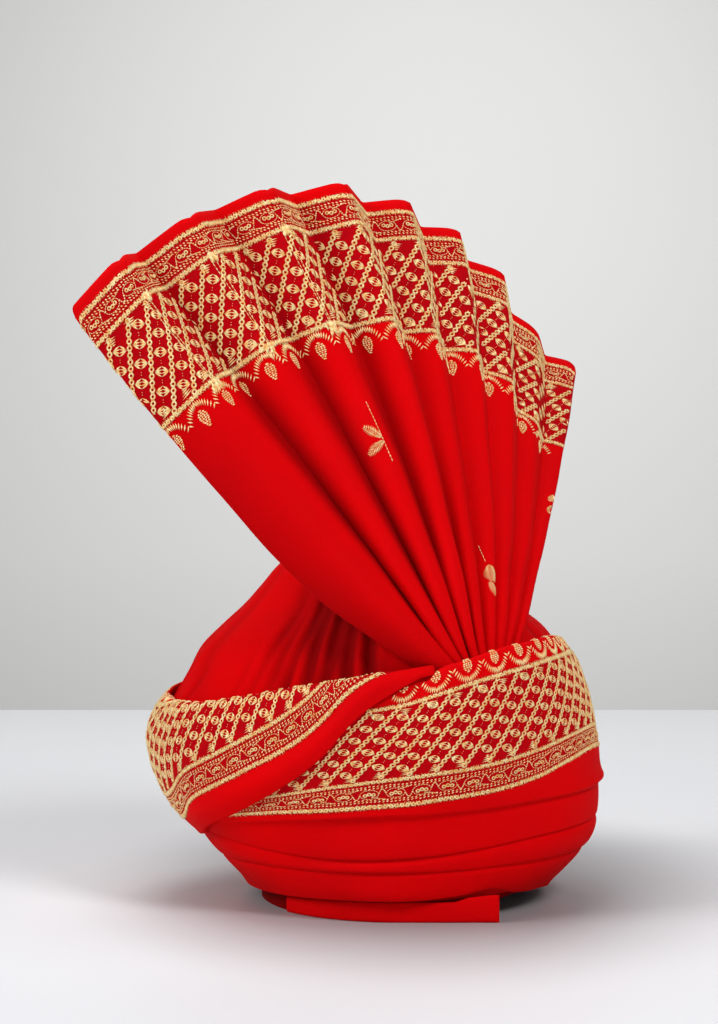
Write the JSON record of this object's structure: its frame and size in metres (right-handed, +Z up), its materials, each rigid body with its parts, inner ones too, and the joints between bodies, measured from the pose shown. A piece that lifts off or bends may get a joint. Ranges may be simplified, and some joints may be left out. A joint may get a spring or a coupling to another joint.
{
  "type": "tied turban pagri",
  "caption": "Tied turban: wound cap on a head ring, wraps, an embroidered border wound round it and a pleated fan standing up at the front.",
  "frame": {"origin": "centre of the head opening, on the surface that the turban rests on", "axes": "+Z up through the cap, +X to the right seen from the front, +Y to the back, so the front faces -Y"},
  "size_m": [0.3142, 0.2599, 0.4272],
  "materials": {
    "red_cloth": "matte fine crepe weave",
    "shade_cloth": "matte plain weave",
    "border_cloth": "fine weave with raised gold thread and ring sequins"
  },
  "bodies": {
    "root": {"head_liner": "shade_cloth", "crown": "red_cloth", "wrap_lower": "red_cloth", "wrap_middle": "red_cloth", "wrap_upper": "red_cloth", "border_wrap": "border_cloth", "fan": "border_cloth", "front_flap": "red_cloth"}
  },
  "joints": []
}
